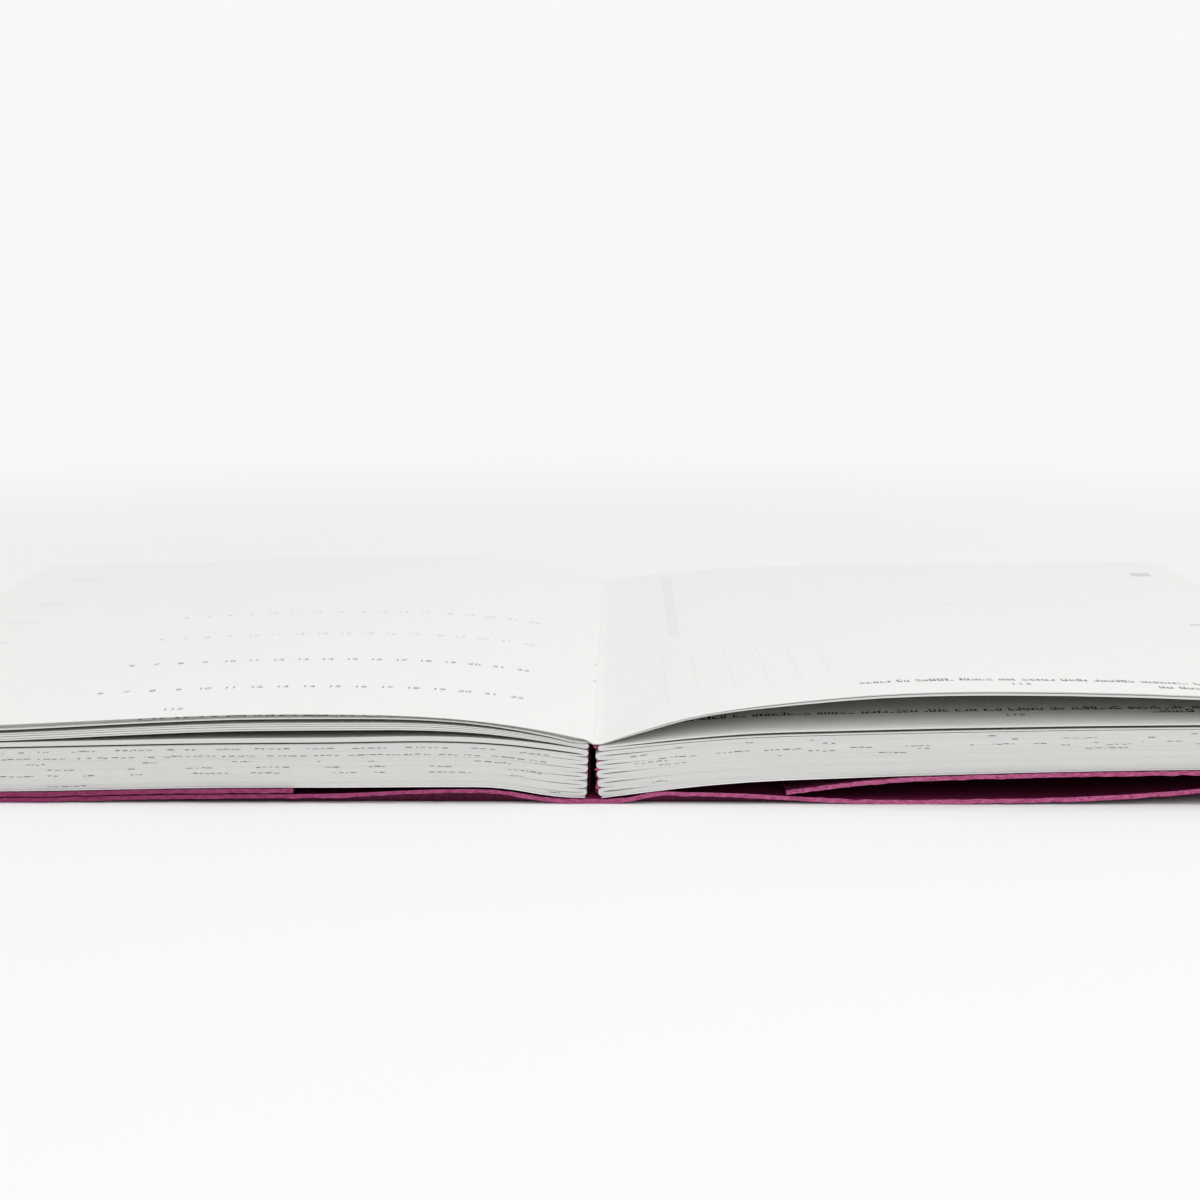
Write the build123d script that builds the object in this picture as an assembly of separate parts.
from build123d import *
import os

os.makedirs("parts", exist_ok=True)

# Pocket planner lying open: X across the opening, Y from foot to head, Z up, in millimetres.
# The origin is on the table under the gutter.

# Pages
page_width = 100.0  # gutter to fore-edge
page_height = 150.0
front_section = 0.97  # one folded section
front_edge_section = 0.87  # at the fore-edge, where the front half lies tightest
front_section_count = 6  # closed sections under the parted leaves
back_section = 1.03
back_edge_section = 0.94  # towards the fore-edge
back_fold_section = 1.1  # the back folds stand a little looser
back_section_count = 5
front_wall = 0.6  # gutter line to the fold backs
back_wall = 0.5
fold_bulge = 0.45  # how far each rounded fold stands out of its valley
slit_start = 1.2  # the crease in the middle of each section
slit_length = 6.0
slit_gap = 0.08

# Leather jacket
leather = 0.55
end_margin = 0.5  # leather past the pages at head and foot
front_square = 14.6  # leather past the fore-edges: the loose jacket has slid to the front
back_square = 1.4
front_bare = 36.3  # gutter to the free edge of each flap
back_bare = 23.1
strip_front = 2.2  # flat strip that lies on the table under the gutter
strip_back = 2.5
front_hump_x = 14.5
front_hump = 1.32
front_dip = 0.58
front_table_x = 80.0  # from here out the front half lies flat on the table
front_flap_gap = 0.08
back_hump_x = 9.5
back_hump = 0.95
back_hump_clear = 0.15  # the sections pass the crest with this to spare
back_table_x = 36.0
back_table_run = 16.0
back_fold_lift = 2.3
back_fold_gap = 0.9  # the back pocket stands open
back_flap_run = 5.0  # level stretch of the back flap, from the fore-edge
back_droop = 19.0  # the flap hangs away from the sections this far from its free edge
flap_touch = 0.04

# Endpapers and spine lining
endpaper = 0.12
sheet_gap = 0.04
lining = 0.14
lining_gap = 0.04
lining_foot = 0.6  # above the leather

# Parted leaves, with sizes at the hump, at the crest and towards the fore-edge.
# The book lies open in the middle of a section, whose upper leaves run down into the gutter.
front_upper_leaves = (0.45, 0.65, 0.75)
front_part = (0.28, 0.4, 0.28)
front_lower_leaves = (0.8, 1.0, 1.0)
front_gap_foot = (0.5, 0.85, 0.06)
front_gap_head = (0.9, 1.75, 1.0)
front_crotch = 1.2  # fold back to where the leaves part
front_fold_leaves = 0.7  # lower leaves at their fold
front_crown = 1.2  # all the parted leaves above the fold
front_steepness = 1.4  # the leaves leave the gutter this much steeper than straight to the hump
front_under_leaves = 0.7  # upper leaves of the next section, parted by a hairline
hairline = 0.1
hairline_start = 1.4
back_lower_leaves = 0.6
back_crotch = 0.6
back_fold_leaves = 0.7
back_crown = 0.95
back_crest_x = 49.0
back_arch_foot = (1.9, 3.13, 3.83, 1.1)  # rise at the hump, the flap's edge, the crest and the fore-edge
back_arch_head = (0.35, 0.4, 0.5, 0.5)
back_upper_leaves_foot = (0.26, 0.4, 0.5, 0.5)
back_upper_leaves_head = (0.22, 0.24, 0.26, 0.26)
back_bridge = 1.37  # the back sections bridge this high over the free edge of the flap
gutter_lip = 0.14  # upper leaves where they meet in the gutter
gutter_gap = 0.04
gutter_notch = 0.25  # the upper leaves come off the lower ones this far behind the folds
gutter_clear = 0.06  # and pass over the folds with this to spare

# Stacking heights
seat = sheet_gap + endpaper + sheet_gap
spine_seat = leather + seat
front_stack = front_section_count * front_section + hairline
back_stack = back_section_count * back_section
front_fold_top = spine_seat + front_section_count * front_section
back_fold_top = spine_seat + back_section_count * back_fold_section
front_folded = 2 * leather + front_flap_gap
front_fold_radius = front_folded / 2
back_fold_radius = leather + back_fold_gap / 2
back_flap_level = back_fold_lift + 2 * back_fold_radius
front_in = front_wall + fold_bulge
back_in = back_wall + fold_bulge
gutter_height = back_fold_top + back_crown


# A sheet that is level at each point, with two tangent arcs between points at different heights
def wave(points):
    edges = []
    for (x0, z0), (x1, z1) in zip(points, points[1:]):
        if z0 == z1:
            edges.append(Line((x0, z0), (x1, z1)))
            continue
        middle = ((x0 + x1) / 2, (z0 + z1) / 2)
        leaving = TangentArc((x0, z0), middle, tangent=(x1 - x0, 0))
        edges.append(leaving)
        edges.append(TangentArc(middle, (x1, z1), tangent=leaving % 1))
    return edges


# Height of such a sheet between two of its points
def wave_height(x, start, end):
    share = (x - start[0]) / (end[0] - start[0])
    rise = 2 * share**2 if share < 0.5 else 1 - 2 * (1 - share) ** 2
    return start[1] + (end[1] - start[1]) * rise


def lifted(points, height):
    return [(x, z + height) for x, z in points]


# The back sections rise from the gutter, bridge over the flap's free edge and lie level on the flap
def bridge(points):
    spine, hump, edge, level, end = points
    over_flap = TangentArc(level, edge, tangent=(-1, 0))
    leaving = Vector(*hump) - Vector(*spine)
    rise = Spline(spine, hump, edge, tangents=[leaving, -(over_flap % 1)])
    return [rise, over_flap, Line(level, end)]


# Height of those sections between the flap's free edge and where they lie level
def bridge_height(x, edge, level):
    run = level[0] - edge[0]
    drop = level[1] - edge[1]
    radius = (run**2 + drop**2) / (2 * drop)
    return level[1] - radius + (radius**2 - (level[0] - x) ** 2) ** 0.5


# Leaves that rise from the gutter to a level crest and fall in one arc to the fore-edge
def arch(points):
    crest = points[-2]
    leaving = Vector(*points[1]) - Vector(*points[0])
    level = (points[-1][0] - crest[0], 0)
    rise = Spline(*points[:-1], tangents=[leaving, level])
    return [rise, TangentArc(crest, points[-1], tangent=level)]


# Leaves that rise to a level crest, come down on the stack and follow it straight to the fore-edge
def saddle(points):
    start, hump, crest, landing, end = points
    leaving = (hump[0] - start[0], (hump[1] - start[1]) * front_steepness)
    level = (crest[0] - hump[0], 0)
    rise = Spline(start, hump, crest, tangents=[leaving, level])
    fall = Spline(crest, landing, tangents=[level, Vector(*end) - Vector(*landing)])
    return [rise, fall, Line(landing, end)]


# Heights added to such a line: none at its start, then at the hump, the crest and towards the fore-edge
def raised(points, heights):
    steps = (0, heights[0], heights[1], heights[2], heights[2])
    return [(x, z + step) for (x, z), step in zip(points, steps)]


# A slab of even height along one of these curves
def slab(curve, points, height):
    higher = lifted(points, height)
    ends = [Line(points[0], higher[0]), Line(points[-1], higher[-1])]
    return make_face(curve(points) + curve(higher) + ends)


def section_plane(y):
    return Plane(origin=(0, y, 0), x_dir=(1, 0, 0), z_dir=(0, -1, 0))


def along_book(profile, length):
    return extrude(section_plane(length / 2) * profile, amount=length)


# Rounded fold back of one section
def fold_back(valley_x, crest_x, low, high):
    turn = 90 if crest_x < valley_x else -90
    return EllipticalCenterArc(
        (valley_x, (low + high) / 2),
        abs(crest_x - valley_x),
        (high - low) / 2,
        start_angle=turn,
        arc_size=180,
    )


# Fold backs of a stack of sections, from the lowest up
def fold_backs(valley_x, crest_x, base, thickness, count):
    levels = [base + i * thickness for i in range(count + 1)]
    return [fold_back(valley_x, crest_x, low, high) for low, high in zip(levels, levels[1:])]


# Creases that open a little in the middle of each section beside its fold
def creases(side, wall, base, thickness, count, slope):
    slits = Sketch()
    for i in range(count):
        z = base + (i + 0.5) * thickness
        x0 = side * (wall + slit_start)
        x1 = x0 + side * slit_length
        x_mid = (x0 + x1) / 2
        rise = slope * slit_length
        outline = Polyline(
            (x0, z),
            (x_mid, z + rise / 2 - slit_gap / 2),
            (x1, z + rise),
            (x_mid, z + rise / 2 + slit_gap / 2),
            close=True,
        )
        slits += make_face(outline)
    return slits


# Leather jacket: one sheet, parted under the gutter where the book closes
def leather_sheet(path, side):
    edges = offset(Wire(path), amount=leather, side=side)
    return along_book(make_face(edges.edges()), page_height + 2 * end_margin)


front_underside = [
    (-strip_front, 0),
    (-front_hump_x, front_hump),
    (-front_bare, front_dip),
    (-front_table_x, 0),
]
front_fold_x = -(page_width + front_square - front_fold_radius)
front_flap_top = [(-front_table_x, front_folded), (-front_bare, front_dip + front_folded)]
front_path = wave(front_underside)
front_path.append(Line((-front_table_x, 0), (front_fold_x, 0)))
front_path.append(
    ThreePointArc(
        (front_fold_x, 0),
        (front_fold_x - front_fold_radius, front_fold_radius),
        (front_fold_x, front_folded),
    )
)
front_path.append(Line((front_fold_x, front_folded), (-front_table_x, front_folded)))
front_path += wave(front_flap_top)
front_cover = leather_sheet(front_path, Side.RIGHT)

back_underside = [
    (-strip_front, 0),
    (strip_back, 0),
    (back_hump_x, back_hump),
    (back_table_x, 0),
    (back_table_x + back_table_run, 0),
    (page_width, back_fold_lift),
]
back_fold_x = page_width + back_square - back_fold_radius
back_flap_edge = flap_touch + 2 * leather + wave_height(
    back_bare, (back_hump_x, back_hump), (back_table_x, 0)
)
back_seat = [
    (back_in, spine_seat),
    (back_hump_x, back_hump + leather + back_hump_clear + seat),
    (back_bare, back_flap_edge + back_bridge),
    (page_width - back_flap_run, back_flap_level + seat),
    (page_width, back_flap_level + seat),
]
back_path = wave(back_underside)
back_path.append(Line((page_width, back_fold_lift), (back_fold_x, back_fold_lift)))
back_path.append(
    ThreePointArc(
        (back_fold_x, back_fold_lift),
        (back_fold_x + back_fold_radius, back_fold_lift + back_fold_radius),
        (back_fold_x, back_flap_level),
    )
)
back_flap_start = (page_width - back_flap_run, back_flap_level)
back_droop_x = back_bare + back_droop
back_droop_start = (back_droop_x, bridge_height(back_droop_x, back_seat[2], back_seat[3]) - seat)
under_sections = TangentArc(back_flap_start, back_droop_start, tangent=(-1, 0))
back_path.append(Line((back_fold_x, back_flap_level), back_flap_start))
back_path.append(under_sections)
back_path.append(TangentArc(back_droop_start, (back_bare, back_flap_edge), tangent=under_sections % 1))
back_cover = leather_sheet(back_path, Side.LEFT)

# Closed sections and endpapers
front_seat = [
    (-front_in, spine_seat),
    (-front_hump_x, front_hump + leather + seat),
    (-front_bare, front_dip + front_folded + seat),
    (-front_table_x, front_folded + seat),
    (-page_width, front_folded + seat),
]
front_edge_top = front_seat[-1][1] + front_section_count * front_edge_section + hairline
front_crest_top = front_seat[2][1] + front_stack
front_landing = (front_table_x - front_bare) / (page_width - front_bare)
front_top = [
    (-front_in, front_fold_top),
    (-front_hump_x, front_seat[1][1] + front_stack),
    (-front_bare, front_crest_top),
    (-front_table_x, front_crest_top + (front_edge_top - front_crest_top) * front_landing),
    (-page_width, front_edge_top),
]

front_outline = wave(front_seat) + saddle(front_top)
front_outline.append(Line(front_seat[-1], front_top[-1]))
front_outline += fold_backs(-front_in, -front_wall, spine_seat, front_section, front_section_count)
front_profile = make_face(front_outline)
hairline_line = lifted(front_top, -front_under_leaves - hairline)
hairline_line[0] = (-front_in - hairline_start, front_fold_top - front_under_leaves)
front_profile -= slab(saddle, hairline_line, hairline)
front_slope = (front_seat[1][1] - spine_seat) / front_hump_x
front_creased = front_section_count - 1  # the topmost one parts at the hairline instead
front_profile -= creases(-1, front_wall, spine_seat, front_section, front_creased, front_slope)
front_pages = along_book(front_profile, page_height)
front_endpaper = along_book(slab(wave, lifted(front_seat, -sheet_gap - endpaper), endpaper), page_height)

back_hump_stack = (back_stack + back_section_count * back_fold_section) / 2
back_edge_stack = back_section_count * back_edge_section
back_top = [
    (back_in, back_fold_top),
    (back_hump_x, back_seat[1][1] + back_hump_stack),
    (back_bare, back_seat[2][1] + back_stack),
    (back_seat[3][0], back_seat[3][1] + back_edge_stack),
    (page_width, back_seat[4][1] + back_edge_stack),
]

back_outline = bridge(back_seat) + bridge(back_top)
back_outline.append(Line(back_seat[-1], back_top[-1]))
back_outline += fold_backs(back_in, back_wall, spine_seat, back_fold_section, back_section_count)
back_profile = make_face(back_outline)
back_slope = (back_seat[1][1] - spine_seat) / back_hump_x
back_profile -= creases(1, back_wall, spine_seat, back_fold_section, back_section_count, back_slope)
back_pages = along_book(back_profile, page_height)
back_endpaper = along_book(slab(bridge, lifted(back_seat, -sheet_gap - endpaper), endpaper), page_height)


# Upper leaves between the fold backs and the gutter, where the two halves meet
def gutter_leaves(side, fold_top, crown):
    x = side * gutter_gap / 2
    low = (x, gutter_height - gutter_lip)
    high = (x, gutter_height)
    notch = (fold_top[0] + side * gutter_notch, fold_top[1])
    over_fold = ThreePointArc(notch, (fold_top[0], fold_top[1] + gutter_clear), low)
    return [Line(fold_top, notch), over_fold, Line(low, high), Line(high, crown)]


# Parted leaves at the front: two groups that part beside the fold and fan out
def front_fan(gap):
    low = raised(lifted(front_top, sheet_gap), gap)
    fold_top = (low[0][0], low[0][1] + front_fold_leaves)
    crotch = (fold_top[0] - front_crotch, fold_top[1])
    parted = raised(low, front_lower_leaves)
    above = raised(parted, front_part)
    crown = raised(above, front_upper_leaves)
    crown[0] = (low[0][0], low[0][1] + front_crown)
    fold = fold_back(-front_in, -front_wall, low[0][1], fold_top[1])
    edges = [fold, Line(low[-1], parted[-1]), Line(above[-1], crown[-1])]
    edges += gutter_leaves(-1, fold_top, crown[0])
    parting = saddle([crotch] + parted[1:]) + saddle([crotch] + above[1:])
    return make_face(saddle(low) + parting + saddle(crown) + edges)


# Parted leaves at the back: the lower ones lie flat and the upper ones arch up
def back_fan(rises, upper_leaves):
    low = lifted(back_top, sheet_gap)
    lying = lifted(low[1:], back_lower_leaves)
    crest = (back_crest_x, bridge_height(back_crest_x, lying[1], lying[2]))
    stations = [lying[0], lying[1], crest, lying[3]]
    under = [(x, z + rise) for (x, z), rise in zip(stations, rises)]
    fold_top = (back_in, low[0][1] + back_fold_leaves)
    crotch = (fold_top[0] + back_crotch, fold_top[1])
    above = [(x, z + leaves) for (x, z), leaves in zip(under, upper_leaves)]
    crown = [(back_in, low[0][1] + back_crown)] + above
    fold = fold_back(back_in, back_wall, low[0][1], fold_top[1])
    edges = [fold, Line(low[-1], lying[-1]), Line(under[-1], crown[-1])]
    edges += gutter_leaves(1, fold_top, crown[0])
    return make_face(bridge(low) + bridge([crotch] + lying) + arch([crotch] + under) + arch(crown) + edges)


def foot_to_head(foot_profile, head_profile):
    foot = section_plane(-page_height / 2) * foot_profile
    head = section_plane(page_height / 2) * head_profile
    return loft([head, foot], ruled=True)


front_open_section = foot_to_head(front_fan(front_gap_foot), front_fan(front_gap_head))
back_open_section = foot_to_head(
    back_fan(back_arch_foot, back_upper_leaves_foot), back_fan(back_arch_head, back_upper_leaves_head)
)

# Cloth strip glued over the fold backs, bent over between the two halves
lining_front = -front_wall + lining_gap
lining_back = back_wall - lining_gap
lining_radius = (lining_back - lining_front) / 2
lining_low = leather + lining_foot
lining_top = gutter_height - gutter_lip - lining_gap
lining_shoulder = lining_top - lining_radius
lining_path = [
    Line((lining_front, lining_low), (lining_front, lining_shoulder)),
    ThreePointArc(
        (lining_front, lining_shoulder),
        (lining_front + lining_radius, lining_top),
        (lining_back, lining_shoulder),
    ),
    Line((lining_back, lining_shoulder), (lining_back, lining_low)),
]
lining_outline = offset(Wire(lining_path), amount=lining, side=Side.RIGHT)
spine_lining = along_book(make_face(lining_outline.edges()), page_height)

nodes = {
    "front_cover": front_cover,
    "back_cover": back_cover,
    "front_pages": front_pages,
    "back_pages": back_pages,
    "front_open_section": front_open_section,
    "back_open_section": back_open_section,
    "front_endpaper": front_endpaper,
    "back_endpaper": back_endpaper,
    "spine_lining": spine_lining,
}
for name, solid in nodes.items():
    export_step(solid, f"parts/{name}.step")
print("closing axis at height", round(gutter_height, 3))
